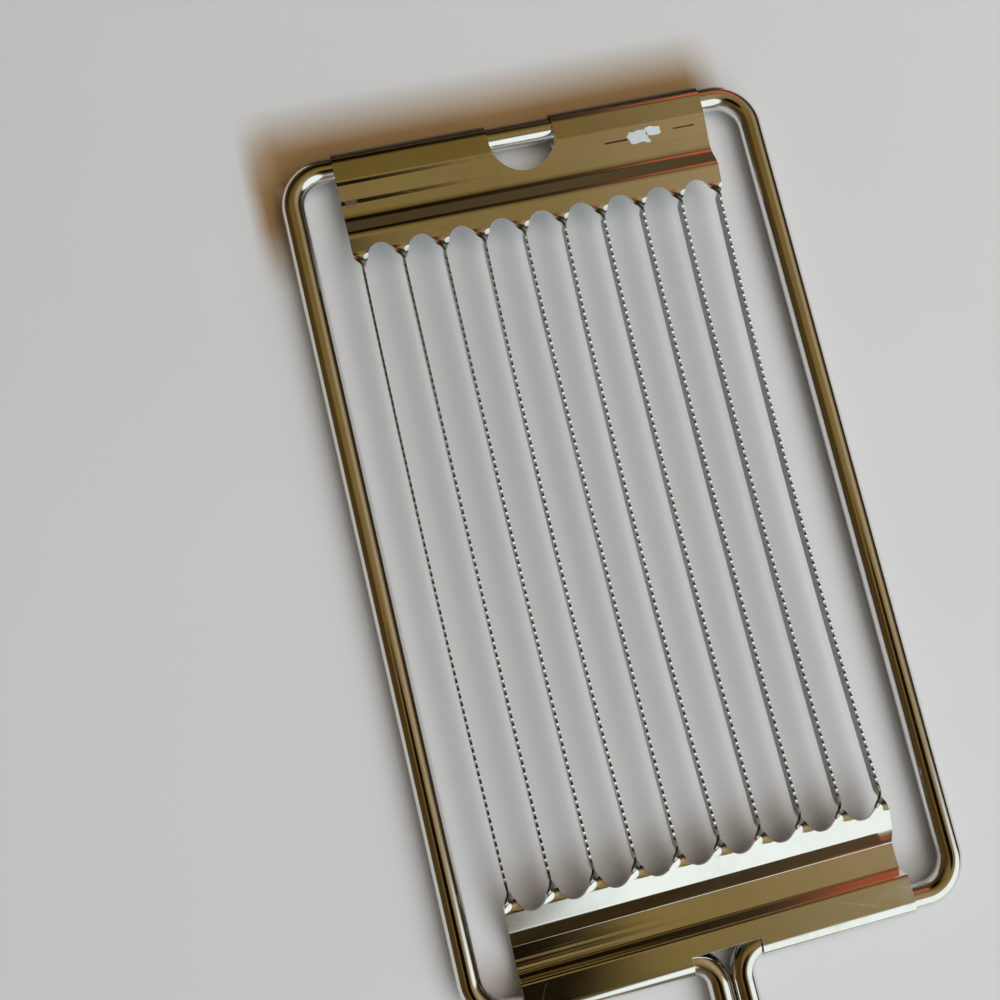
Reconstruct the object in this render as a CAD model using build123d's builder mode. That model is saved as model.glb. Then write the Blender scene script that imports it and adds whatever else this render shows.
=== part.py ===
from build123d import *
import math
import os

# Hand-held tomato slicer. One round wire is bent into the frame and the handle. One
# stamped sheet is folded round the frame's two end bars: it makes both end plates and
# the toothed strips between them, each twisted a quarter turn at both of its necks.
# Lengths are in millimetres. X runs across, +Y to the far end, away from the handle,
# and +Z up, to the side that the teeth point to. The origin is the middle of the base.

# The wire frame. Every bend radius is measured on the wire's axis.
wire_diameter = 4.0
frame_width = 86.0  # over the two side rails
bar_spacing = 141.0  # axis of the near bar to axis of the far bar
corner_radius = 6.0

# The neck, where both ends of the wire leave the near bar side by side, and the handle.
neck_gap = 0.1
neck_bend_radius = 4.6
neck_stub = 2.0  # straight stretch that belongs to the frame
neck_length = 14.0  # near bar's axis to the start of the flare
flare_length = 12.0
flare_radius = 12.0
handle_width = 24.0  # over the wires
handle_reach = 70.0  # near bar's axis to the outside of the handle's end
handle_end_flat = 2.0  # straight stretch between the two bends of the round end

# The stamped sheet, along its section, from the hem round the bar towards the strips.
# Runs are measured inwards, along Y, and heights from the bar's axis to mid-sheet.
sheet = 0.4
hem_clearance = 0.1  # wire to sheet
under_leaf_run = 3.0
top_leaf_run = 4.2
step_run = 1.8
web_depth = 0.6
web_run = 3.3
riser_run = 3.0
ridge_height = 1.5
rise_run = 3.0
strip_level = 2.0  # height of the strips' middle
landing_run = 0.7
press_radius = 1.0

# The strips.
strip_count = 10
strip_pitch = 7.0
strip_height = 2.4
root_land = 1.2  # bottom of a slot to the line where the twist begins
twist_length = 2.6
twist_steps = 8
strip_bows = [-0.45, -0.15, -0.2, -0.6, -0.3, -0.85, -0.6, -0.5, -0.6, -0.95]
bow_chords = 8

# The teeth.
tooth_pitch = 1.25
gullet_width = 0.8
gullet_floor = 0.3
gullet_depth = 0.45
plain_end = 1.5  # untoothed stretch at each end of a strip

# The cutout that lets the wires out of the near hem, and the far hem's hanging notch.
cutout_width = 11.6
cutout_depth = 3.6  # from the hem's outer face
notch_width = 11.6
notch_depth = 9.5  # from the hem's outer face to the bottom of the half-moon

# Worked out from the sizes above.
wire_radius = wire_diameter / 2
hem_radius = wire_radius + hem_clearance + sheet / 2
hem_outside = hem_radius + sheet / 2
total_length = hem_outside + bar_spacing + handle_reach
far_y = total_length / 2 - hem_outside
near_y = far_y - bar_spacing
middle_y = (far_y + near_y) / 2
axis_z = hem_outside
rail_x = frame_width / 2 - wire_radius
neck_x = wire_radius + neck_gap / 2
grip_x = handle_width / 2 - wire_radius
stub_y = near_y - neck_bend_radius - neck_stub
slot_radius = (strip_pitch - strip_height) / 2
root_run = top_leaf_run + step_run + web_run + riser_run + rise_run + landing_run
strip_z = axis_z + strip_level
strip_end_run = root_run + twist_length
strip_places = [(i - (strip_count - 1) / 2) * strip_pitch for i in range(strip_count)]
slot_places = [x + strip_pitch / 2 for x in strip_places[:-1]]


def half_width(distance):
    """Half the strip's width, a given distance from the bottom of the slot beside it."""
    if distance >= slot_radius:
        return strip_height / 2
    inset = slot_radius - distance
    return strip_pitch / 2 - math.sqrt(slot_radius**2 - inset**2)


plate_width = (strip_count - 1) * strip_pitch + 2 * half_width(root_land)

# Frame wire: from one side of the neck, round the four corners, to the other side.
with BuildPart() as frame_wire:
    with BuildLine(Plane.XY.offset(axis_z)) as frame_path:
        FilletPolyline(
            (-neck_x, stub_y),
            (-neck_x, near_y),
            (-rail_x, near_y),
            (-rail_x, far_y),
            (rail_x, far_y),
            (rail_x, near_y),
            (neck_x, near_y),
            (neck_x, stub_y),
            radius=[neck_bend_radius] + [corner_radius] * 4 + [neck_bend_radius],
        )
    with BuildSketch(Plane(origin=frame_path.line @ 0, z_dir=frame_path.line % 0)):
        Circle(wire_radius)
    sweep()

# Handle wire: the neck's straight run, the flare and the long round-ended loop.
handle_end_y = near_y - handle_reach + wire_radius
handle_end_radius = grip_x - handle_end_flat / 2
flare_y = near_y - neck_length
grip_y = flare_y - flare_length
with BuildPart() as handle_wire:
    with BuildLine(Plane.XY.offset(axis_z)) as handle_path:
        FilletPolyline(
            (-neck_x, stub_y),
            (-neck_x, flare_y),
            (-grip_x, grip_y),
            (-grip_x, handle_end_y),
            (grip_x, handle_end_y),
            (grip_x, grip_y),
            (neck_x, flare_y),
            (neck_x, stub_y),
            radius=[flare_radius] * 2 + [handle_end_radius] * 2 + [flare_radius] * 2,
        )
    with BuildSketch(Plane(origin=handle_path.line @ 0, z_dir=handle_path.line % 0)):
        Circle(wire_radius)
    sweep()

# One neck: the flat strip turns until its left edge has risen to the top.
with BuildPart() as neck:
    for step in range(twist_steps + 1):
        part_way = step / twist_steps
        along = twist_length * part_way
        turn = math.radians(90 * part_way**2 * (3 - 2 * part_way))
        level = (math.cos(turn), 0, -math.sin(turn))
        with BuildSketch(Plane(origin=(0, along, 0), x_dir=level, z_dir=(0, 1, 0))):
            Rectangle(2 * half_width(root_land + along), sheet)
    loft()

# The pressed end plate at the near bar, with its necks and no cutout yet.
with BuildPart() as blank:
    section_plane = Plane(origin=(0, near_y, axis_z), x_dir=(0, 1, 0), z_dir=(1, 0, 0))
    step_end = top_leaf_run + step_run
    web_end = step_end + web_run
    ridge_at = web_end + riser_run
    rise_end = ridge_at + rise_run
    with BuildSketch(section_plane):
        with BuildLine() as section:
            Line((under_leaf_run, -hem_radius), (0, -hem_radius))
            CenterArc((0, 0), hem_radius, 270, -180)
            FilletPolyline(
                (0, hem_radius),
                (top_leaf_run, hem_radius),
                (step_end, -web_depth),
                (web_end, -web_depth),
                (ridge_at, ridge_height),
                (rise_end, strip_level),
                (root_run, strip_level),
                radius=press_radius,
            )
        trace(section.line, sheet)
    extrude(amount=plate_width / 2, both=True)
    slot_y = near_y + root_run - root_land + slot_radius
    with Locations(*[(x, slot_y, axis_z) for x in slot_places]):
        Cylinder(slot_radius, 4 * hem_outside, mode=Mode.SUBTRACT)
    with Locations(*[(x, near_y + root_run, strip_z) for x in strip_places]):
        add(neck.part)

# Near plate: the hem is cut away where the two wires bend out into the neck.
with BuildPart() as near_plate:
    add(blank.part)
    with Locations((0, near_y - hem_outside, axis_z)):
        Box(cutout_width, 2 * cutout_depth, 3 * hem_outside, mode=Mode.SUBTRACT)

# Far plate: the mirror image, with the notch that lets the slicer hang from a peg.
notch_centre_y = far_y + hem_outside - notch_depth + notch_width / 2
notch_mouth = far_y + 2 * hem_outside - notch_centre_y
with BuildPart() as far_plate:
    mirror(blank.part, about=Plane.XZ.offset(-middle_y))
    with BuildSketch(Plane.XY) as notch:
        with Locations((0, notch_centre_y)):
            Circle(notch_width / 2)
        with Locations((0, notch_centre_y + notch_mouth / 2)):
            Rectangle(notch_width, notch_mouth)
    extrude(amount=2 * axis_z, mode=Mode.SUBTRACT)

# The toothed side view of a strip, reaching far enough across to hold any bowed strip.
strip_start_y = near_y + strip_end_run
strip_stop_y = far_y - strip_end_run
strip_length = strip_stop_y - strip_start_y
strip_base_z = strip_z - strip_height / 2
strip_top_z = strip_z + strip_height / 2
gullet_count = int((strip_length - 2 * plain_end) / tooth_pitch)
side_reach = sheet + max(abs(bow) for bow in strip_bows)
outline = [(strip_start_y, strip_top_z), (strip_start_y, strip_base_z)]
outline += [(strip_stop_y, strip_base_z), (strip_stop_y, strip_top_z)]
for number in range(gullet_count):
    gullet_y = middle_y + ((gullet_count - 1) / 2 - number) * tooth_pitch
    outline.append((gullet_y + gullet_width / 2, strip_top_z))
    outline.append((gullet_y + gullet_floor / 2, strip_top_z - gullet_depth))
    outline.append((gullet_y - gullet_floor / 2, strip_top_z - gullet_depth))
    outline.append((gullet_y - gullet_width / 2, strip_top_z))
with BuildPart() as toothed_side:
    with BuildSketch(Plane.YZ):
        Polygon(*outline, align=None)
    extrude(amount=side_reach, both=True)


def bowed_face(x, bow):
    """Points along one side of a strip, from its near end to its far end."""
    parts_of_length = [i / bow_chords for i in range(bow_chords + 1)]
    return [(x + 4 * bow * t * (1 - t), strip_start_y + strip_length * t) for t in parts_of_length]


# The strips stand on edge. Each is slightly slack, so it bows a little to one side.
strips = []
for place, bow in zip(strip_places, strip_bows):
    with BuildPart() as strip:
        with BuildSketch(Plane.XY.offset(strip_base_z)):
            with BuildLine():
                left_side = bowed_face(place - sheet / 2, bow)
                right_side = bowed_face(place + sheet / 2, bow)
                Polyline(*left_side, *reversed(right_side), close=True)
            make_face()
        extrude(amount=strip_height)
        with Locations((place, 0, 0)):
            add(toothed_side.part, mode=Mode.INTERSECT)
    strips.append(strip)

pieces = {
    "frame_wire": frame_wire,
    "handle_wire": handle_wire,
    "near_plate": near_plate,
    "far_plate": far_plate,
}
for number, strip in enumerate(strips, start=1):
    pieces[f"blade_{number:02d}"] = strip

os.makedirs("parts", exist_ok=True)
for name, piece in pieces.items():
    piece.part.label = name
    export_step(piece.part, f"parts/{name}.step")
    box = piece.part.bounding_box()
    print(name, "volume", round(piece.part.volume, 1), "from", box.min, "to", box.max)
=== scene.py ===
# %% [markdown]
# # A hand-held tomato slicer
# The real object is two pieces of plated steel. One round wire is bent into a long frame and a
# handle. One thin stamped sheet is folded round the frame's two end bars, and ten narrow toothed
# strips of that same sheet run between the two folded ends. This lesson builds each visible piece
# as its own mesh, dresses the pieces in bright plated steel, and sets up a small studio.
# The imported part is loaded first, because it fixes where every piece has to be.

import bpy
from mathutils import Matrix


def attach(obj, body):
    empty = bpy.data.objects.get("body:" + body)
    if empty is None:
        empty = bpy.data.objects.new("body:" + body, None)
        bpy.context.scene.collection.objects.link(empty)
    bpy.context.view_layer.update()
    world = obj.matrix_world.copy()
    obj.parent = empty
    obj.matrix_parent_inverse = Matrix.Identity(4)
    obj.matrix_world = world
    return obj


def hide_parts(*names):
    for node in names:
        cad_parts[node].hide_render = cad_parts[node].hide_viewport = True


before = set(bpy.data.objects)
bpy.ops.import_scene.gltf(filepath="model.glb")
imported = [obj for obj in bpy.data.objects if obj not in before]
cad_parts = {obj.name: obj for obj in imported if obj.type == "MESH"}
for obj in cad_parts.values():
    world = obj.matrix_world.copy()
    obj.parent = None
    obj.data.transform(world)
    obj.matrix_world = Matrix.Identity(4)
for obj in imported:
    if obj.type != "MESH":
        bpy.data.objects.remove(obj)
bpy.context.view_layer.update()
print("nodes", sorted(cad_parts))

# %% [markdown]
# ## The maker's sizes
# All sizes are written in millimetres, as on a maker's drawing, and each point is turned into
# metres only when a mesh is made. X runs across, +Y points to the far end and +Z up, to the side
# the teeth point to. The wire's axis lies at one height, so most of the shape is a flat drawing
# with a thickness.

# %% Sizes of the wire
import bpy
import bmesh
import math
import numpy as np
from mathutils import Matrix, Vector

mm = 0.001
wire_radius = 2.0
rail_x = 41.0
near_y = -36.75
far_y = 104.25
middle_y = (near_y + far_y) / 2
axis_z = 2.5
corner_radius = 6.0
neck_x = 2.05
neck_bend_radius = 4.6
stub_y = -43.35
print("frame, axis to axis:", 2 * rail_x, "x", far_y - near_y, "mm")

# %% Sizes of the handle
flare_y = -50.75
grip_y = -62.75
grip_x = 10.0
handle_end_y = -104.75
flare_radius = 12.0
handle_end_radius = 9.0
print("handle reaches", near_y - handle_end_y + wire_radius, "mm from the near bar")

# %% [markdown]
# ## Bent wire
# Wire is bent round pins, so its centre line is straight runs joined by arcs. A curve object with
# a bevel would do, but its handles only come near a true arc, and plated wire shows every error
# in its reflections. So the centre line is worked out exactly, and a ring of points is placed
# along it. Rings stand close together in a bend and just beside it, and far apart on a straight
# run: smooth shading then stays flat where the wire is straight.

# %% A centre line with round bends
def bent_line(corners, radii, arc_step=5.0, run_step=8.0, beside=0.25):
    """Points along straight runs between corners, with an arc of the given radius at each."""
    corners = [np.array(corner, float) for corner in corners]
    points = [corners[0]]

    def run_to(goal):
        start = points[-1]
        length = np.linalg.norm(goal - start)
        if length < 3 * beside:
            points.append(goal)
            return
        marks = [beside / length]
        inner = int(length / run_step)
        marks += [step / (inner + 1) for step in range(1, inner + 1)]
        marks += [1 - beside / length, 1.0]
        points.extend(start + (goal - start) * mark for mark in marks)

    for before, corner, after, radius in zip(corners, corners[1:], corners[2:], radii):
        way_in = (corner - before) / np.linalg.norm(corner - before)
        way_out = (after - corner) / np.linalg.norm(after - corner)
        turn = math.acos(np.clip(way_in @ way_out, -1, 1))
        setback = radius * math.tan(turn / 2)
        side = way_out - way_in * (way_in @ way_out)
        side /= np.linalg.norm(side)
        centre = corner - way_in * setback + side * radius
        run_to(corner - way_in * setback)
        steps = max(2, math.ceil(math.degrees(turn) / arc_step))
        for step in range(1, steps + 1):
            angle = turn * step / steps
            points.append(centre + radius * (way_in * math.sin(angle) - side * math.cos(angle)))
    run_to(corners[-1])
    return np.array(points)


def both_halves(left_half):
    """The corners of the left half, and then those of its mirror image in reverse order."""
    return left_half + [(-x, y) for x, y in reversed(left_half)]


frame_corners = both_halves(
    [(-neck_x, stub_y), (-neck_x, near_y), (-rail_x, near_y), (-rail_x, far_y)]
)
frame_radii = [neck_bend_radius] + [corner_radius] * 4 + [neck_bend_radius]
frame_line = bent_line(frame_corners, frame_radii)
print("frame wire:", len(frame_line), "rings")

# %% Turn a mesh made in millimetres into a piece
def smooth_piece(name, points, faces, sharp=math.radians(40)):
    """A mesh object of points in millimetres, shaded smooth except over sharp edges."""
    mesh = bpy.data.meshes.new(name)
    mesh.from_pydata([tuple(float(v) * mm for v in point) for point in points], [], faces)
    shape = bmesh.new()
    shape.from_mesh(mesh)
    bmesh.ops.recalc_face_normals(shape, faces=shape.faces)
    shape.to_mesh(mesh)
    shape.free()
    mesh.shade_smooth()
    mesh.set_sharp_from_angle(angle=sharp)
    piece = bpy.data.objects.new(name, mesh)
    bpy.context.collection.objects.link(piece)
    return piece


print("pieces are made in millimetres, and 1 mm is", mm, "m")

# %% A round wire along a centre line
def wire_piece(name, line, sides=40):
    """A round bar of the wire's radius along a flat centre line, closed at both ends."""
    points = []
    faces = []
    for number, place in enumerate(line):
        ahead = line[min(number + 1, len(line) - 1)] - place
        behind = place - line[max(number - 1, 0)]
        ahead = ahead / (np.linalg.norm(ahead) or 1)
        behind = behind / (np.linalg.norm(behind) or 1)
        along = (ahead + behind) / np.linalg.norm(ahead + behind)
        for side in range(sides):
            angle = 2 * math.pi * side / sides
            out = wire_radius * math.cos(angle)
            up = wire_radius * math.sin(angle)
            points.append((place[0] + along[1] * out, place[1] - along[0] * out, axis_z + up))
    for ring in range(len(line) - 1):
        for side in range(sides):
            here = ring * sides + side
            beside = ring * sides + (side + 1) % sides
            faces.append((here, beside, beside + sides, here + sides))
    faces.append(tuple(range(sides)))
    last = (len(line) - 1) * sides
    faces.append(tuple(last + side for side in range(sides)))
    return smooth_piece(name, points, faces)


frame_piece = wire_piece("bent_frame", frame_line)
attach(frame_piece, "root")
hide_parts("frame_wire")
print("bent frame:", len(frame_piece.data.polygons), "faces")

# %% [markdown]
# ## The handle
# Both ends of the wire leave the near bar side by side, run on as a short neck, flare apart and
# close in a long round-ended loop. It is the same wire, so it is made by the same helper, from
# its own corners. It starts exactly where the frame's neck stops.

# %% Make the handle loop
handle_corners = both_halves(
    [(-neck_x, stub_y), (-neck_x, flare_y), (-grip_x, grip_y), (-grip_x, handle_end_y)]
)
handle_radii = [flare_radius] * 2 + [handle_end_radius] * 2 + [flare_radius] * 2
handle_piece = wire_piece("handle_loop_wire", bent_line(handle_corners, handle_radii))
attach(handle_piece, "root")
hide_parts("handle_wire")
print("handle:", len(handle_piece.data.polygons), "faces")

# %% [markdown]
# ## The folded sheet, seen from the side
# From the side, each end plate is one bent line: a short leaf under the bar, a hem round it, a
# flat leaf on top, a step down to a shallow trough, a rise to a ridge and a nearly flat root
# zone, where the strips begin. The two ends were pressed a little differently. The near one has
# a sharp step and its root zone climbs, while the far one slopes gently down, rises to a broad
# ridge and falls a little towards the strips. Only the middle of the sheet is drawn. Its
# thickness comes later, from a Solidify modifier, so it is the same everywhere, as in real sheet.
# Distances inwards from the bar's axis are called runs.

# %% Sizes of the sheet
sheet = 0.4
hem_radius = 2.3
under_leaf_run = 3.0
strip_level = 2.0
# The corners of each pressed line are written as run and height. A bend has its own radius.
near_press = [(0, 2.3), (4.2, 2.3), (4.8, -0.75), (9.2, -0.9), (11.9, 1.0), (14.9, 1.75)]
near_bends = [0.45, 0.65, 0.5, 0.9]
far_press = [(0, 2.3), (3.2, 2.3), (3.9, 2.07), (6.5, 1.67), (7.2, 1.44), (9.6, 1.12)]
far_press += [(12.75, 2.72), (15.7, 2.1)]
far_bends = [1.2, 1.2, 1.2, 1.4, 3.2, 2.0]
near_shift = -0.5  # how far the sheet stands off the middle of the frame, at each end
far_shift = -0.35
opening_half = 5.8  # half the width of the near cutout and of the far notch
open_run = 1.1  # how far inwards the cutout reaches
near_root_run = near_press[-1][0]
far_root_run = far_press[-1][0]
strip_start_run = 18.6
strip_pitch = 7.0
strip_height = 2.4
slot_radius = (strip_pitch - strip_height) / 2
near_land = 0.45  # bottom of a slot to the line where the twist begins
far_land = 0.9
strip_places = [(number - 4.5) * strip_pitch for number in range(10)]
slot_places = [place + strip_pitch / 2 for place in strip_places[:-1]]
print("strips at", strip_places)

# %% The bent line of the sheet
row_gap = 0.05
beside_hem = (0.1, 0.6, open_run)
leaf_runs = (under_leaf_run, 2.4, 1.8)
hem_steps = 24


def pressed_rows(corners, bends):
    """Closely spaced places along the pressed line, from just inside the bar to the strips."""
    rows = bent_line(corners, bends, arc_step=6, run_step=0.3, beside=0.06)
    return [(float(run), float(height)) for run, height in rows if run > open_run + row_gap]


hem_part = [(run, -hem_radius) for run in (*leaf_runs, *reversed(beside_hem))]
for step in range(hem_steps + 1):
    angle = math.radians(270 - 180 * step / hem_steps)
    hem_part.append((hem_radius * math.cos(angle), hem_radius * math.sin(angle)))
hem_part += [(run, hem_radius) for run in beside_hem]
hem_rows = len(hem_part)
near_section = hem_part + pressed_rows(near_press, near_bends)
far_section = hem_part + pressed_rows(far_press, far_bends)
print("section rows:", len(near_section), "near and", len(far_section), "far")

# %% [markdown]
# ## Where the columns of the sheet go
# A stamped plate is easiest to build as a grid of quads: rows follow the bends and columns run
# straight along the section. The columns are placed where the outline needs them. Half of each
# slot's round end lies in the plate, so columns crowd together there, and each strip's own
# columns carry on past the plate into the twisted neck.

# %% Half of a strip's width near its root
def half_width(distance):
    """Half the strip's width, a given distance from the bottom of the slot beside it."""
    if distance >= slot_radius:
        return strip_height / 2
    inset = slot_radius - distance
    return strip_pitch / 2 - math.sqrt(slot_radius**2 - inset**2)


neck_columns = 8
slot_columns = 14


def neck_marks(place, half):
    """Where a strip's columns lie. The plate's own ends run straight on into the outer strips."""
    left = strip_height / 2 if place == strip_places[0] else half
    right = strip_height / 2 if place == strip_places[-1] else half
    marks = [2 * step / neck_columns - 1 for step in range(neck_columns + 1)]
    return [mark * (left if mark < 0 else right) for mark in marks]


print("half widths at the roots:", round(half_width(near_land), 3), round(half_width(far_land), 3))

# %% Columns across the plate
def plate_columns(root_run, land, extra=()):
    """Places across the plate, and for each the run at which the sheet ends there."""
    root_half = half_width(land)
    slot_bottom_run = root_run - land
    ends = {}
    for place in strip_places:
        for mark in neck_marks(place, root_half):
            ends[round(place + mark, 4)] = root_run
    widest = math.asin((strip_pitch / 2 - root_half) / slot_radius)
    for middle in slot_places:
        for step in range(1, slot_columns):
            lean = widest * (2 * step / slot_columns - 1)
            across = middle + slot_radius * math.sin(lean)
            ends[round(across, 4)] = slot_bottom_run + slot_radius * (1 - math.cos(lean))
    for across in extra:
        if round(across, 4) in ends:
            continue
        middle = round(across / strip_pitch) * strip_pitch
        off = abs(across - middle)
        in_slot = off < strip_pitch / 2 - root_half and middle in slot_places
        dip = slot_radius - math.sqrt(slot_radius**2 - min(off, slot_radius) ** 2)
        ends[round(across, 4)] = slot_bottom_run + dip if in_slot else root_run
    return sorted(ends.items())


cutout_sides = (-opening_half - near_shift, opening_half - near_shift)
near_columns = plate_columns(near_root_run, near_land, extra=cutout_sides)
print("columns across the near plate:", len(near_columns))

# %% [markdown]
# ## Folding the plate
# The grid is folded by asking the section for the height at each run. Where the edge is scalloped,
# the last rows are squeezed together so that they end on the round edge. The notch of the far
# plate is made in the same way from the other side: columns that cross it start on its half-moon
# edge. Cutting the holes with a Boolean would be shorter to write, but it leaves long thin faces
# that spoil the reflections of polished metal.

# %% Creases that the press left
near_creases = [
    # run, width and depth of the line, then from where it fades and where it ends, across
    (6.0, 0.25, 0.09, -24, 6),
    (7.2, 0.22, 0.07, -24, 2),
]


def crease_depth(creases, x, run):
    """How deep the tool's edges bit into the sheet, in fine lines that fade to the right."""
    depth = 0
    for at_run, width, deepest, from_x, to_x in creases:
        fade = min(1, max(0, (to_x - x) / (to_x - from_x)))
        depth += deepest * fade * math.exp(-(((run - at_run) / width) ** 2))
    return depth


print(len(near_creases), "creases in the near plate")

# %% Keep the grid clear of the openings
notch_centre_run = 1.2
notch_join_run = 8.0  # rows further in than this don't feel the notch
squeezed_length = 2.4  # rows this close to the strips are squeezed onto the slots' edges
tolerance = 0.001


def in_notch(x, near):
    """Whether a column starts on the edge of the far plate's notch."""
    return not near and abs(x) < opening_half - tolerance


def clear_of_openings(x, edge_run, run, height, section, near):
    """The run and height of a grid point, moved off the notch and short of a slot's edge."""
    runs, heights = zip(*section[hem_rows - 1:])
    if in_notch(x, near) and run < notch_join_run:
        start = notch_centre_run + math.sqrt(opening_half**2 - x**2)
        share = (run - open_run) / (notch_join_run - open_run)
        run = start + (notch_join_run - start) * share
        height = float(np.interp(run, runs, heights))
    squeeze_from = runs[-1] - squeezed_length
    if run > squeeze_from and edge_run < runs[-1]:
        share = (run - squeeze_from) / (runs[-1] - squeeze_from)
        run = squeeze_from + (edge_run - squeeze_from) * share
        height = float(np.interp(run, runs, heights))
    return run, height


print("the notch reaches", notch_centre_run + opening_half, "mm inwards")

# %% Twist one neck
twist_steps = 16


def neck_faces(put, before, place, land, root):
    """The faces of one neck, from the plate's last points to where the strip stands on edge."""
    root_run, root_height = root
    faces = []
    for step in range(1, twist_steps + 1):
        part_way = step / twist_steps
        along = (strip_start_run - root_run) * part_way
        turn = math.radians(90 * part_way**2 * (3 - 2 * part_way))
        level = root_height + (strip_level - root_height) * part_way
        ring = []
        for out in neck_marks(place, half_width(land + along)):
            x = place + out * math.cos(turn)
            ring.append(put(x, root_run + along, level - out * math.sin(turn)))
        for left in range(neck_columns):
            faces.append([before[left], before[left + 1], ring[left + 1], ring[left]])
        before = ring
    return faces


print("a neck turns in", twist_steps, "steps")

# %% Build one folded plate
sheet_sharp = math.radians(80)


def folded_plate(name, columns, section, land, end, creases=()):
    """The folded end plate with its ten twisted necks, as a mesh of the middle of the sheet."""
    near = end == "near"
    bar_y, inwards, shift = (near_y, 1, near_shift) if near else (far_y, -1, far_shift)
    cutout_rows = range(len(leaf_runs), hem_rows - 1)
    points = []
    grid = {}
    faces = []

    def put(x, run, height):
        points.append((x + shift, bar_y + inwards * run, axis_z + height))
        return len(points) - 1

    for column, (x, edge_run) in enumerate(columns):
        for row, (run, height) in enumerate(section):
            if in_notch(x, near) and row < hem_rows - 1:
                continue
            run, height = clear_of_openings(x, edge_run, run, height, section, near)
            grid[column, row] = put(x, run, height - crease_depth(creases, x, run))
    for column in range(len(columns) - 1):
        middle = (columns[column][0] + columns[column + 1][0]) / 2 + shift
        for row in range(len(section) - 1):
            corners = [(column, row), (column + 1, row), (column + 1, row + 1), (column, row + 1)]
            if any(corner not in grid for corner in corners):
                continue
            if near and abs(middle) < opening_half and row in cutout_rows:
                continue
            faces.append([grid[corner] for corner in corners])
    across = {x: column for column, (x, _) in enumerate(columns)}
    last = len(section) - 1
    for place in strip_places:
        marks = neck_marks(place, half_width(land))
        before = [grid[across[round(place + mark, 4)], last] for mark in marks]
        faces += neck_faces(put, before, place, land, section[-1])
    return smooth_piece(name, points, faces, sharp=sheet_sharp)


near_piece = folded_plate(
    "near_end_plate", near_columns, near_section, near_land, "near", near_creases
)
print("near end plate:", len(near_piece.data.polygons), "faces")

# %% [markdown]
# ## Sheet thickness and broken edges
# Solidify gives the sheet its thickness, half to each side of the drawn middle. A press leaves
# every edge of the sheet very slightly rounded, and that thin rounding is what catches the light
# along a real edge, so a small Bevel follows. Both are applied, so that the mesh holds what is
# seen.

# %% Give a sheet piece its thickness
def thicken(piece, edge=0.05):
    """Adds the sheet's thickness and a small round on its edges, and applies both."""
    solid = piece.modifiers.new("thickness", "SOLIDIFY")
    solid.thickness = sheet * mm
    solid.offset = 0
    solid.use_even_offset = True
    rounding = piece.modifiers.new("broken edge", "BEVEL")
    rounding.width = edge * mm
    rounding.segments = 2
    rounding.limit_method = "ANGLE"
    rounding.angle_limit = math.radians(50)
    rounding.use_clamp_overlap = True
    rounding.harden_normals = True
    bpy.context.view_layer.update()
    seen = piece.evaluated_get(bpy.context.evaluated_depsgraph_get())
    finished = bpy.data.meshes.new_from_object(seen)
    piece.modifiers.clear()
    piece.data = finished


thicken(near_piece)
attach(near_piece, "root")
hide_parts("near_plate")
print("near end plate with thickness:", len(near_piece.data.polygons), "faces")

# %% [markdown]
# ## The far plate
# It follows its own gentler section from the other bar, and has a notch in place of the cutout.
# The notch bares the bar, so the slicer can hang from a peg. Its columns are spaced by the sine
# of an angle, so that they crowd together where the half-moon's edge is steep.

# %% Fold the far plate
moon_steps = 22
too_close = 0.02
turns = [math.pi * (step / moon_steps - 0.5) for step in range(moon_steps + 1)]
moon = [opening_half * math.sin(turn) for turn in turns]
inner_moon = [round(x, 4) for x in moon[1:-1]]
far_columns = []
for x, edge_run in plate_columns(far_root_run, far_land, extra=moon):
    if x in inner_moon and x - far_columns[-1][0] < too_close:
        continue
    far_columns.append((x, edge_run))
far_piece = folded_plate("far_end_plate", far_columns, far_section, far_land, "far")
thicken(far_piece)
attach(far_piece, "root")
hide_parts("far_plate")
print("far end plate:", len(far_piece.data.polygons), "faces")

# %% [markdown]
# ## Toothed strips
# Each strip stands on edge between the two necks, with its teeth up. It is slightly slack, so it
# bows to one side by a few tenths of a millimetre, each strip by its own amount. The teeth are
# gaps pressed out of the top edge, with one long shallow side and one short steep side. The mesh
# is one upright ribbon: two rows for the plain body, and one small face for each tooth on top of
# it. The strips are shaded flat at the end, without the normals that the Bevel left: the press
# leaves each side of a tooth as a small crisp mirror of its own, and those mirrors make the row
# of bright dots that a toothed strip shows.

# %% Sizes of the strips
strip_start_y = near_y + strip_start_run
strip_stop_y = far_y - strip_start_run
strip_length = strip_stop_y - strip_start_y
strip_bows = [-0.45, -0.15, -0.2, -0.6, -0.3, -0.85, -0.6, -0.5, -0.6, -0.95]
tooth_pitch = 1.25
gullet_floor = 0.06
gullet_depth = 0.34
shallow_flank = 0.73
steep_flank = 0.40
plain_end = 0.4
gullet_count = int((strip_length - 2 * plain_end) / tooth_pitch)
print(gullet_count, "gaps between teeth on a strip", round(strip_length, 2), "mm long")

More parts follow.
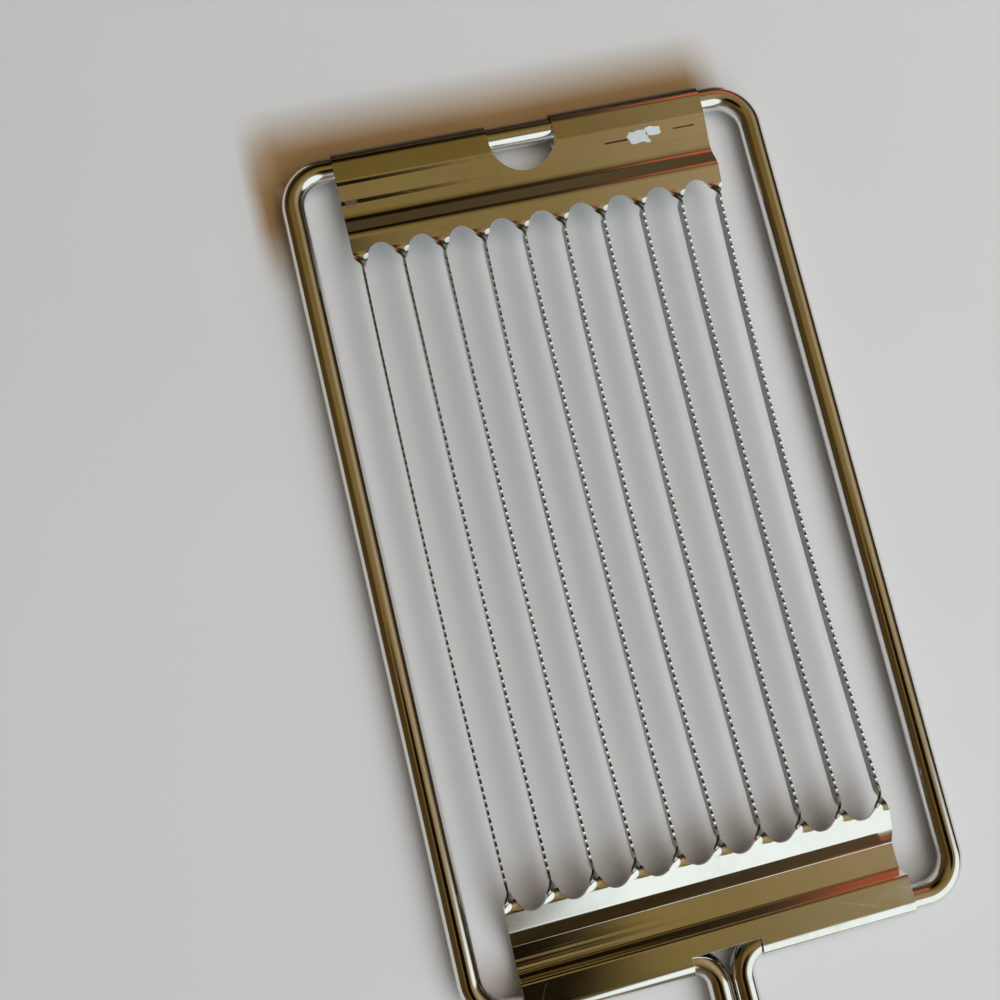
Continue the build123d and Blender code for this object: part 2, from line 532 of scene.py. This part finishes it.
# %% Build the ten strips
def toothed_strip(name, place, bow):
    """One upright strip with teeth on its top edge, as a mesh of the middle of the sheet."""
    low = strip_level - strip_height / 2
    high = strip_level + strip_height / 2
    shoulder = high - gullet_depth
    points = []

    def put(y, height):
        part_way = (y - strip_start_y) / strip_length
        shift = near_shift + (far_shift - near_shift) * part_way
        x = place + shift + 4 * bow * part_way * (1 - part_way)
        points.append((x, y, axis_z + height))
        return len(points) - 1

    gaps = [middle_y + (n - (gullet_count - 1) / 2) * tooth_pitch for n in range(gullet_count)]
    body = [strip_start_y]
    for gap in gaps:
        body += [gap - gullet_floor / 2, gap + gullet_floor / 2]
    body.append(strip_stop_y)
    rows = [[put(y, height) for y in body] for height in (low, strip_level, shoulder)]
    faces = []
    for below, above in zip(rows, rows[1:]):
        for left in range(len(body) - 1):
            faces.append([below[left], below[left + 1], above[left + 1], above[left]])
    for left in range(0, len(body), 2):
        from_y = body[left] + (shallow_flank if left else 0)
        to_y = body[left + 1] - (steep_flank if left + 2 < len(body) else 0)
        tip = [put(to_y, high), put(from_y, high)]
        faces.append([rows[2][left], rows[2][left + 1]] + tip)
    return smooth_piece(name, points, faces, sharp=sheet_sharp)


strip_pieces = []
for number, (place, bow) in enumerate(zip(strip_places, strip_bows), start=1):
    strip = toothed_strip(f"toothed_strip_{number:02d}", place, bow)
    thicken(strip, edge=0.025)
    if "custom_normal" in strip.data.attributes:
        strip.data.attributes.remove(strip.data.attributes["custom_normal"])
    strip.data.shade_flat()
    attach(strip, "root")
    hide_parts(f"blade_{number:02d}")
    strip_pieces.append(strip)
print(len(strip_pieces), "strips of", len(strip_pieces[0].data.polygons), "faces")

# %% [markdown]
# ## Nodes for the finishes
# Bright plating looks like nothing by itself: nearly all that is seen is its surroundings, bent
# by the surface. What tells steel from a perfect mirror is small: a slow waviness left by
# rolling and pressing, hair-thin scratches, and a haze of finger marks that blurs the reflection
# in patches. Each of these is made once as a node group with its own inputs, and every metal on
# the slicer uses them with its own values. A few helpers keep the trees short to write. Each new
# node stands to the right of the last one, so that a tree reads from left to right.

# %% Add nodes and feed their inputs
node_spacing = 220


def feed(tree, socket, value):
    """Links another node's output to an input, or writes a plain value in it."""
    if isinstance(value, bpy.types.NodeSocket):
        tree.links.new(value, socket)
    else:
        socket.default_value = value


def add_node(tree, kind, inputs=None, **settings):
    """A node with its settings. What goes into it is given by each input's name or number."""
    node = tree.nodes.new(kind)
    node.location = (node_spacing * len(tree.nodes), 0)
    for name, value in settings.items():
        setattr(node, name, value)
    for key, value in (inputs or {}).items():
        feed(tree, node.inputs[key], value)
    return node


print("nodes are placed", node_spacing, "apart")

# %% Helpers for the nodes used most
def number_math(tree, operation, *values):
    """The result of a Math node."""
    inputs = dict(enumerate(values))
    return add_node(tree, "ShaderNodeMath", inputs, operation=operation).outputs[0]


def vector_math(tree, operation, *values):
    """The result of a Vector Math node, which is a number for a length or a dot product."""
    node = add_node(tree, "ShaderNodeVectorMath", dict(enumerate(values)), operation=operation)
    return node.outputs["Value" if operation in ("LENGTH", "DOT_PRODUCT") else "Vector"]


def noise(tree, where, scale, detail):
    """The value of a Noise Texture."""
    inputs = {"Vector": where, "Scale": scale, "Detail": detail}
    return add_node(tree, "ShaderNodeTexNoise", inputs).outputs[0]


def remap(tree, value, zero_at, one_at, easing="LINEAR"):
    """A value turned into 0 at one place and 1 at another."""
    inputs = {"Value": value, "From Min": zero_at, "From Max": one_at}
    node = add_node(tree, "ShaderNodeMapRange", inputs, interpolation_type=easing)
    return node.outputs[0]


def mix(tree, share, below, above, kind="RGBA"):
    """Two colours or two numbers, mixed by a share."""
    first, second, result = (6, 7, 2) if kind == "RGBA" else (2, 3, 0)
    inputs = {0: share, first: below, second: above}
    return add_node(tree, "ShaderNodeMix", inputs, data_type=kind).outputs[result]


print("node helpers ready")

# %% Start, finish and use a group
def new_group(name, inputs, output):
    """A node group that holds only its inputs, each with its start value, if it has one."""
    group = bpy.data.node_groups.new(name, "ShaderNodeTree")
    for label, start in inputs.items():
        kind = "NodeSocketFloat" if isinstance(start, float) else "NodeSocketVector"
        socket = group.interface.new_socket(label, in_out="INPUT", socket_type=kind)
        if start is not None:
            socket.default_value = start
    group.interface.new_socket(output, in_out="OUTPUT", socket_type="NodeSocketFloat")
    return group, add_node(group, "NodeGroupInput").outputs


def finish_group(group, result):
    """Gives a group its result."""
    add_node(group, "NodeGroupOutput", {0: result})
    print(group.name, "has", len(group.nodes), "nodes")


def use_group(tree, group, **inputs):
    """The result of a group, placed in a tree."""
    return add_node(tree, "ShaderNodeGroup", inputs, node_tree=group).outputs[0]


print("group helpers ready")

# %% [markdown]
# ### Scratches
# A hair scratch is a long thin line. Noise that is stretched hard along one axis and cut to its
# narrow peaks gives short broken lines. A second set at another angle keeps them from looking
# brushed. The group puts out a mask, which the materials use both as height and as roughness.

# %% Group: hair scratches
scratches, given = new_group(
    "Hair scratches", {"Position": None, "Scale": 900.0, "Amount": 0.5, "Turn": 0.0}, "Mask"
)
faintest, fullest = 0.67, 0.76
scratch_sets = []
for offset, stretch, tilt in ((0.0, 0.03, 0.35), (7.3, 0.05, -1.1)):
    angle = number_math(scratches, "ADD", given["Turn"], tilt)
    turning = {"Vector": given["Position"], "Angle": angle}
    spin = add_node(scratches, "ShaderNodeVectorRotate", turning, rotation_type="Z_AXIS")
    moving = {"Vector": spin.outputs[0], "Location": (offset, offset, 0), "Scale": (stretch, 1, 1)}
    moved = add_node(scratches, "ShaderNodeMapping", moving).outputs[0]
    lines = noise(scratches, moved, given["Scale"], 3)
    scratch_sets.append(remap(scratches, lines, faintest, fullest))
both = number_math(scratches, "MAXIMUM", *scratch_sets)
finish_group(scratches, number_math(scratches, "MULTIPLY", both, given["Amount"]))

# %% [markdown]
# ### Haze
# Handling leaves soft patches in which the reflection is a little blurred. Two sizes of noise
# multiplied together give patches with uneven insides. The mask goes to roughness, and very
# faintly to the colour.

# %% Group: handling haze
haze, given = new_group("Handling haze", {"Position": None, "Scale": 60.0, "Amount": 1.0}, "Mask")
clouds = []
for factor, detail, low, high in ((1.0, 2.0, 0.42, 0.68), (9.0, 5.0, 0.25, 0.75)):
    size = number_math(haze, "MULTIPLY", given["Scale"], factor)
    clouds.append(remap(haze, noise(haze, given["Position"], size, detail), low, high))
inside = number_math(haze, "MULTIPLY", *clouds)
finish_group(haze, number_math(haze, "MULTIPLY", inside, given["Amount"]))

# %% [markdown]
# ### Waviness
# No rolled sheet or drawn wire is truly flat or straight. A height that changes slowly, by a few
# thousandths of a millimetre over several millimetres, makes straight reflections wander as they
# do on the real plates. The stretch input makes the waves longer along one axis.

# %% Group: slow waves
waves, given = new_group(
    "Slow waves", {"Position": None, "Scale": 120.0, "Stretch": (1.0, 1.0, 1.0)}, "Height"
)
stretched = vector_math(waves, "MULTIPLY", given["Position"], given["Stretch"])
finish_group(waves, noise(waves, stretched, given["Scale"], 1))

# %% [markdown]
# ### Worn patches and painted shade
# Here and there something has rubbed or smeared the plating. Each mark is a small block of ragged
# outline, and the same mask also lays a line of painted shade on the far end. The group measures
# how far a point is from the block's middle, in block sizes, and lets noise tear the edge.

# %% Group: ragged patch, for wear and for painted shade
worn_and_shaded, given = new_group(
    "Worn patch",
    {"Position": None, "Centre": (0.0, 0.0, 0.0), "Size": (0.003, 0.001, 0.01), "Ragged": 0.8},
    "Mask",
)
away = vector_math(worn_and_shaded, "SUBTRACT", given["Position"], given["Centre"])
in_sizes = vector_math(worn_and_shaded, "DIVIDE", away, given["Size"])
unsigned = vector_math(worn_and_shaded, "ABSOLUTE", in_sizes)
sides = add_node(worn_and_shaded, "ShaderNodeSeparateXYZ", {0: unsigned}).outputs
flat = number_math(worn_and_shaded, "MAXIMUM", sides["X"], sides["Y"])
distance = number_math(worn_and_shaded, "MAXIMUM", flat, sides["Z"])
tears = noise(worn_and_shaded, given["Position"], 600, 5)
torn = number_math(worn_and_shaded, "SUBTRACT", tears, 0.5)
ragged = number_math(worn_and_shaded, "MULTIPLY", torn, given["Ragged"])
bare_at, worn_at = 1.05, 0.9
torn_edge = number_math(worn_and_shaded, "ADD", distance, ragged)
finish_group(worn_and_shaded, remap(worn_and_shaded, torn_edge, bare_at, worn_at))

# %% [markdown]
# ### Zones
# The plating isn't equally bright everywhere: the twisted necks and the flanks of the strips are
# duller than the flat leaves and the tips of the teeth. A zone lies beyond a given distance from
# a plane. The group takes the plane's direction and place, and the two distances between which
# the change happens.

# %% Group: zone beyond a distance
zone, given = new_group(
    "Zone beyond a distance",
    {"Position": None, "Along": (0.0, 1.0, 0.0), "Middle": 0.0, "From": 0.0, "To": 0.01},
    "Mask",
)
reach_along = vector_math(zone, "DOT_PRODUCT", given["Position"], given["Along"])
off = number_math(zone, "SUBTRACT", reach_along, given["Middle"])
apart_by = number_math(zone, "ABSOLUTE", off)
finish_group(zone, remap(zone, apart_by, given["From"], given["To"]))

# %% [markdown]
# ## Plated steel
# One builder makes the three finishes of the slicer, because they are the same plating on wire,
# on pressed sheet and on the cut strips. The Principled shader is fully metallic with a pale,
# barely warm colour. Roughness starts low and rises in haze and scratches. Two Bump nodes follow
# one another: a weak one for the slow waves and a stronger one for scratches.

# %% Build a plated finish
scratch_scale = 1100
scratch_blur = 0.25
scratch_depth = 0.004
haze_scale = 70
haze_blur = 0.22
haze_darkening = (0.8, 0.79, 0.77)


def plated(name, colour, roughness, wave_scale, wave_stretch, wave_depth, scratched, hazed):
    """A bright plated steel material with waves, scratches and haze of the given strength."""
    material = bpy.data.materials.new(name)
    material.use_nodes = True
    tree = material.node_tree
    where = add_node(tree, "ShaderNodeTexCoord").outputs["Object"]
    marks = use_group(tree, scratches, Position=where, Scale=scratch_scale, Amount=scratched)
    fog = use_group(tree, haze, Position=where, Scale=haze_scale, Amount=hazed)
    swells = use_group(tree, waves, Position=where, Scale=wave_scale, Stretch=wave_stretch)
    hazy = [part * darkening for part, darkening in zip(colour, haze_darkening)]
    dull = number_math(tree, "MULTIPLY_ADD", fog, haze_blur, roughness)
    swell = {"Strength": 1.0, "Distance": wave_depth * mm, "Height": swells}
    slow = add_node(tree, "ShaderNodeBump", swell).outputs[0]
    groove = {"Strength": 0.6, "Distance": scratch_depth * mm, "Height": marks, "Normal": slow}
    fine = add_node(tree, "ShaderNodeBump", groove, invert=True).outputs[0]
    shader = tree.nodes["Principled BSDF"]
    feed(tree, shader.inputs["Metallic"], 1.0)
    feed(tree, shader.inputs["Base Color"], mix(tree, fog, (*colour, 1), (*hazy, 1)))
    scuffed = number_math(tree, "MULTIPLY_ADD", marks, scratch_blur, dull)
    feed(tree, shader.inputs["Roughness"], scuffed)
    feed(tree, shader.inputs["Normal"], fine)
    return material


print("haze blurs by", haze_blur, "and scratches by", scratch_blur)

# %% The three finishes
plated_wire = plated("Plated wire", (0.88, 0.86, 0.83), 0.08, 90, (1, 0.4, 1), 0.05, 0.4, 0.4)
plated_sheet = plated("Plated sheet", (0.90, 0.88, 0.84), 0.08, 130, (0.4, 1, 1), 0.10, 0.3, 0.4)
plated_strip = plated("Plated strip", (0.26, 0.28, 0.29), 0.24, 150, (1, 0.3, 1), 0.03, 0.5, 0.6)
dressed = (
    (plated_wire, [frame_piece, handle_piece]),
    (plated_sheet, [near_piece, far_piece]),
    (plated_strip, strip_pieces),
)
for finish, pieces in dressed:
    for piece in pieces:
        piece.data.materials.append(finish)
    print(finish.name, "on", len(pieces), "pieces")

# %% [markdown]
# ### Laying one finish over another
# A worn patch or a duller zone is the same steel with other values. Its mask comes from one of
# the groups above. Wherever the mask is white, the shader's colour, sheen and roughness are mixed
# towards the new values, and whatever fed them before stays underneath.

# %% Lay new values over a finish
def placed_mask(material, group, **values):
    """The mask of a group that works on places, set up with its own values."""
    tree = material.node_tree
    where = add_node(tree, "ShaderNodeTexCoord").outputs["Object"]
    return use_group(tree, group, Position=where, **values)


def lay_over(material, mask, changes):
    """Mixes new values into a material's shader where the mask is white."""
    tree = material.node_tree
    shader = tree.nodes["Principled BSDF"]
    for name, above in changes.items():
        socket = shader.inputs[name]
        below = socket.links[0].from_socket if socket.is_linked else socket.default_value
        kind = "RGBA" if socket.type == "RGBA" else "FLOAT"
        tree.links.new(mix(tree, mask, below, above, kind), socket)


print("laying helpers ready")

# %% Bright tips and dull necks
tips = placed_mask(plated_strip, zone, Along=(0, 0, 1), From=0.00552, To=0.00557)
lay_over(plated_strip, tips, {"Base Color": (0.86, 0.87, 0.86, 1), "Roughness": 0.10})
necks = placed_mask(plated_sheet, zone, Middle=middle_y * mm, From=0.0545, To=0.0528)
lay_over(plated_sheet, necks, {"Base Color": (0.28, 0.30, 0.31, 1), "Roughness": 0.22})
print("zones laid on", plated_strip.name, "and", plated_sheet.name)

# %% [markdown]
# ### Wear and painted shade at the far end
# The far plate has a torn whitish scuff with a dark streak on each side, and a reddish smear near
# its left end. A line of painted shade runs along the outer shoulder of the hem and of the bare
# wire: a dark colour laid where the rim would otherwise mirror the brighter table further out.

# %% Wear on the far plate
patches = [
    # middle, half size, raggedness, colour, sheen, roughness
    ((0.0200, 0.0991, 0), (0.0017, 0.0011, 9), 1.3, (0.62, 0.68, 0.70), 0.2, 0.5),
    ((0.0228, 0.0997, 0), (0.0014, 0.0007, 9), 1.3, (0.66, 0.72, 0.74), 0.2, 0.5),
    ((0.0156, 0.0990, 0), (0.0022, 0.00016, 9), 0.9, (0.10, 0.07, 0.04), 0.8, 0.3),
    ((0.0282, 0.0994, 0), (0.0018, 0.00013, 9), 0.9, (0.12, 0.09, 0.05), 0.8, 0.3),
    ((-0.0312, 0.0972, 0), (0.0011, 0.0007, 9), 1.4, (0.62, 0.42, 0.34), 0.9, 0.2),
]
for centre, size, ragged, tint, sheen, roughness in patches:
    mark = placed_mask(plated_sheet, worn_and_shaded, Centre=centre, Size=size, Ragged=ragged)
    changes = {"Base Color": (*tint, 1), "Metallic": sheen, "Roughness": roughness}
    lay_over(plated_sheet, mark, changes)
print(len(patches), "worn patches")

# %% Painted shade along the outer shoulder
# Painted shade, not grime: a dark colour on the outer shoulder of the hem and of the wire.
painted_shade_line = {"Base Color": (0.05, 0.03, 0.015, 1), "Roughness": 0.3}
shoulders = [
    # finish, middle, half size
    (plated_sheet, (0, 0.1067, 0.0042), (9, 0.0014, 0.0009)),
    (plated_wire, (0, 0.1065, 0.0040), (9, 0.0014, 0.0008)),
]
for finish, centre, size in shoulders:
    lay_over(finish, placed_mask(finish, worn_and_shaded, Centre=centre, Size=size, Ragged=0.3), painted_shade_line)
    print("grime laid on", finish.name)

# %% [markdown]
# ## The surroundings
# Plated steel shows the room it is in. Here it is a kitchen table: a brown ceiling above, a big
# pale window beyond the handle and to the right, a lit strip of wall on the right, and dark
# furniture round about. The room is painted in the world shader from the direction of each ray,
# so nothing stands in the way in any view. Two colour ramps give the room from left to right and
# from the handle's side to the far side, and their mix depends on the compass direction. Their
# stops are degrees from straight up, each with a colour as a picture writes it.

# %% Colours as a picture shows them
def shown(*colour):
    """The light that a picture writes as three numbers from 0 to 255, by the sRGB curve."""
    parts = []
    for part in colour:
        share = part / 255
        parts.append(share / 12.92 if share < 0.04045 else ((share + 0.055) / 1.055) ** 2.4)
    return (*parts, 1.0)


left_to_right = [
    (-90, 74, 59, 33),
    (-60, 68, 51, 22),
    (-44, 62, 45, 13),
    (-36, 85, 65, 32),
    (-24, 111, 92, 55),
    (-6, 122, 103, 60),
    (10, 124, 105, 64),
    (24, 150, 132, 98),
    (36, 164, 146, 116),
    (48, 134, 118, 94),
    (60, 70, 58, 38),
    (72, 39, 29, 12),
    (90, 52, 44, 31),
]
handle_to_far = [
    (-90, 120, 108, 90),
    (-48, 80, 64, 42),
    (-36, 62, 47, 24),
    (-25, 96, 80, 46),
    (-14, 126, 108, 62),
    (0, 124, 106, 62),
    (12, 112, 95, 52),
    (24, 100, 82, 38),
    (32, 80, 62, 28),
    (39, 12, 7, 2),
    (58, 10, 6, 1),
    (69, 64, 52, 28),
    (80, 72, 60, 36),
    (90, 84, 72, 48),
]
print("ramps with", len(left_to_right), "and", len(handle_to_far), "colours")

# %% The world's two ramps
world = bpy.data.worlds.new("Kitchen")
bpy.context.scene.world = world
world.use_nodes = True
room = world.node_tree
room.nodes.clear()
look = add_node(room, "ShaderNodeTexCoord").outputs["Generated"]
ray = add_node(room, "ShaderNodeSeparateXYZ", {0: look}).outputs


def tilt_ramp(axis, stops):
    """A colour from how far a ray leans from straight up, along one axis."""
    lean = number_math(room, "ARCTAN2", ray[axis], ray["Z"])
    share = remap(room, lean, -math.pi / 2, math.pi / 2)
    ramp = add_node(room, "ShaderNodeValToRGB", {"Fac": share})
    ramp.color_ramp.interpolation = "EASE"
    for _ in stops[2:]:
        ramp.color_ramp.elements.new(0.5)
    for element, (degrees, *colour) in zip(ramp.color_ramp.elements, stops):
        element.position = (degrees + 90) / 180
        element.color = shown(*colour)
    return ramp.outputs["Color"]


across = tilt_ramp("X", left_to_right)
lengthwise = tilt_ramp("Y", handle_to_far)
print("world ramps made")

# %% Mix the ramps by compass direction
never_zero = 0.0001
x_part = number_math(room, "MULTIPLY", ray["X"], ray["X"])
y_part = number_math(room, "MULTIPLY", ray["Y"], ray["Y"])
both_parts = number_math(room, "ADD", number_math(room, "ADD", x_part, y_part), never_zero)
facing = number_math(room, "DIVIDE", y_part, both_parts)
painted = mix(room, facing, across, lengthwise)
print("ramps mixed")

# %% [markdown]
# ### Window, copper pans and a dark shape
# Three soft-edged round areas are laid over the ramps: the window, a reddish patch at the far
# right, and a dark shape near straight up on the handle's side. Each is found from the angle
# between the ray and the middle of the area.

# %% Lay soft round areas over the room
def toward(lean_x, lean_y):
    """The direction that leans the given degrees from straight up, along X and Y."""
    return Vector((math.tan(math.radians(lean_x)), math.tan(math.radians(lean_y)), 1)).normalized()


def round_area(direction, inner, outer):
    """How much of a soft-edged round area lies where the ray points."""
    nearness = vector_math(room, "DOT_PRODUCT", look, direction)
    edges = math.cos(math.radians(outer)), math.cos(math.radians(inner))
    return remap(room, nearness, *edges, "SMOOTHSTEP")


window_turn = math.radians(38)
window_rise = math.radians(30)
window_at = Vector((
    math.sin(window_turn) * math.cos(window_rise),
    -math.cos(window_turn) * math.cos(window_rise),
    math.sin(window_rise),
))
areas = [
    # middle, degrees to the inner and outer end of the soft edge, colour
    (toward(39, 50), 8, 13.5, shown(184, 90, 60)),
    (toward(-9.5, -15.5), 13, 19, shown(14, 9, 4)),
    (window_at, 26, 33.5, shown(236, 246, 244)),
]
for direction, inner, outer, tint in areas:
    painted = mix(room, round_area(direction, inner, outer), painted, tint)
print(len(areas), "areas laid over the room")

# %% [markdown]
# ## What the camera sees past the table
# The room is there for the metal. The camera itself sees a plain pale backdrop, so Light Path
# swaps the room for a pale grey on camera rays.

# %% Finish the world
room_strength = 1.1
backdrop = shown(212, 211, 209)
for_camera = add_node(room, "ShaderNodeLightPath").outputs["Is Camera Ray"]
seen_room = {"Color": mix(room, for_camera, painted, backdrop), "Strength": room_strength}
glow = add_node(room, "ShaderNodeBackground", seen_room).outputs[0]
add_node(room, "ShaderNodeOutputWorld", {"Surface": glow})
print("world of", len(room.nodes), "nodes")

# %% [markdown]
# ## The table
# A plain pale table top, large enough that no view sees its edge. It gets a very faint unevenness
# in tone and a soft sheen, as painted board has, so that it isn't one flat colour.

# %% Make the table top
reach = 1500
corners = [(x * reach * mm, y * reach * mm, 0) for x, y in ((-1, -1), (1, -1), (1, 1), (-1, 1))]
table_mesh = bpy.data.meshes.new("table_top")
table_mesh.from_pydata(corners, [], [(0, 1, 2, 3)])
table_top = bpy.data.objects.new("table_top", table_mesh)
bpy.context.collection.objects.link(table_top)
print("table top", 2 * reach, "mm wide")

# %% Paint the table
table_paint = bpy.data.materials.new("Table paint")
table_paint.use_nodes = True
paint = table_paint.node_tree
spot = add_node(paint, "ShaderNodeTexCoord").outputs["Object"]
mottle = noise(paint, spot, 18, 2)
tones = mix(paint, mottle, (0.64, 0.63, 0.625, 1), (0.68, 0.675, 0.67, 1))
paint_shader = paint.nodes["Principled BSDF"]
looks = {"Base Color": tones, "Roughness": 0.55, "Specular IOR Level": 0.3}
for name, value in looks.items():
    feed(paint, paint_shader.inputs[name], value)
table_mesh.materials.append(table_paint)
print(table_paint.name, "on", table_top.name)

# %% [markdown]
# ### Painted brown shadow past the far hem
# A soft brown shadow is painted on the table just outside the far hem, as brown as the metal
# itself, and it follows the left corner a short way down the rail. Each painted shadow is laid
# into the paint where its zones overlap. The bar and the rail hide its inner edges.

# %% Lay the painted brown shadow
painted_shadows = {
    "past the hem": [
        {"Middle": 0.1067, "From": 0.0120, "To": 0.0031},
        {"From": 0.1030, "To": 0.1045},
        {"Along": (1, 0, 0), "Middle": -0.0046, "From": 0.0437, "To": 0.0375},
    ],
    "down the left rail": [
        {"Middle": 0.1005, "From": 0.0150, "To": 0.0030},
        {"Along": (1, 0, 0), "Middle": -0.0445, "From": 0.0042, "To": 0.0010},
    ],
}
for name, zones in painted_shadows.items():
    brown = placed_mask(table_paint, zone, **zones[0])
    for values in zones[1:]:
        brown = number_math(paint, "MULTIPLY", brown, placed_mask(table_paint, zone, **values))
    # Painted shadow: brown shade laid into the table's own colour.
    lay_over(table_paint, brown, {"Base Color": (0.34, 0.21, 0.09, 1)})
    print("brown haze", name, "from", len(zones), "zones")

# %% [markdown]
# ### Where the table meets the backdrop
# Seen from low down, the far end of a bare table would be a dark strip, because the lamps light
# only the middle. For the camera alone, the paint turns softly into the backdrop's pale grey from
# a third of a metre out. Light Path keeps this off every other ray, so that the lighting and the
# reflections stay as they are.

# %% Fade the far table into the backdrop
fade_from = 0.33
fade_to = 1.0
fade = remap(paint, vector_math(paint, "LENGTH", spot), fade_from, fade_to, "SMOOTHSTEP")
camera_ray = add_node(paint, "ShaderNodeLightPath").outputs["Is Camera Ray"]
share = number_math(paint, "MULTIPLY", fade, camera_ray)
pale = {"Color": backdrop, "Strength": room_strength}
far_grey = add_node(paint, "ShaderNodeEmission", pale).outputs[0]
halves = {0: share, 1: paint_shader.outputs[0], 2: far_grey}
melt = add_node(paint, "ShaderNodeMixShader", halves).outputs[0]
paint.links.new(melt, paint.nodes["Material Output"].inputs["Surface"])
print("table fades from", fade_from, "m out")

# %% [markdown]
# ## Lamps
# Daylight comes from the window, low and wide, from beyond the handle and from the right. It is
# spread by the ceiling and by the pale wall on the right, and those are what lights the table
# between the strips. Three soft area lamps stand in for the three. They are hidden from
# reflections, because the painted room already gives them their bright band.

# %% Three soft lamps
def soft_lamp(name, place, aim, width, height, power, tint):
    """A rectangular area lamp that lights but isn't seen in reflections."""
    light = bpy.data.lights.new(name, "AREA")
    light.shape = "RECTANGLE"
    light.size = width
    light.size_y = height
    light.energy = power
    light.color = tint
    lamp = bpy.data.objects.new(name, light)
    lamp.location = place
    lamp.rotation_euler = (Vector(aim) - Vector(place)).to_track_quat("-Z", "Y").to_euler()
    lamp.visible_glossy = False
    bpy.context.collection.objects.link(lamp)


aim = (0, 0.03, 0)
daylight = (0.77, 0.89, 1.0)
warm_white = (1.0, 0.96, 0.90)
cool_white = (0.93, 0.96, 1.0)
soft_lamp("window_light", (0.42, -1.0, 0.72), aim, 1.7, 0.7, 14.0, daylight)
soft_lamp("ceiling_light", (0.3, -0.05, 1.1), aim, 1.6, 1.6, 3.4, warm_white)
soft_lamp("wall_light", (0.32, 0.07, 0.56), aim, 0.6, 0.5, 1.5, cool_white)
print("lamps placed")

# %% [markdown]
# ## The camera
# The picture was taken from close above, over the left rail, with the slicer turned a little in
# it. The camera stands where the frame's corners fall as they do in the picture, and its lens was
# chosen in the same way. The turn is measured from +Y towards +X.

# %% Place the camera
camera_place = Vector((-0.03977, 0.02414, 0.18386))
camera_aim = Vector((-0.01831, 0.04268, 0.0025))
camera_turn = math.radians(13.51)
ahead = (camera_aim - camera_place).normalized()
top = Vector((math.sin(camera_turn), math.cos(camera_turn), 0))
right = ahead.cross(top).normalized()
upward = right.cross(ahead)
camera_data = bpy.data.cameras.new("camera")
camera_data.lens = 39.6
camera_data.sensor_width = 36.0
camera_data.clip_start = 0.01
camera = bpy.data.objects.new("camera", camera_data)
camera.matrix_world = Matrix.Translation(camera_place) @ Matrix((
    (right.x, upward.x, -ahead.x, 0),
    (right.y, upward.y, -ahead.y, 0),
    (right.z, upward.z, -ahead.z, 0),
    (0, 0, 0, 1),
))
bpy.context.collection.objects.link(camera)
bpy.context.scene.camera = camera
bpy.context.scene.view_settings.view_transform = "Standard"
print("camera", round((camera_place - camera_aim).length * 1000), "mm from the slicer")

# %% [markdown]
# ## The last update
# The dressed slicer should fill the imported part's box and no more. The view layer is updated at
# the end.

# %% Update the view layer
bpy.context.view_layer.update()
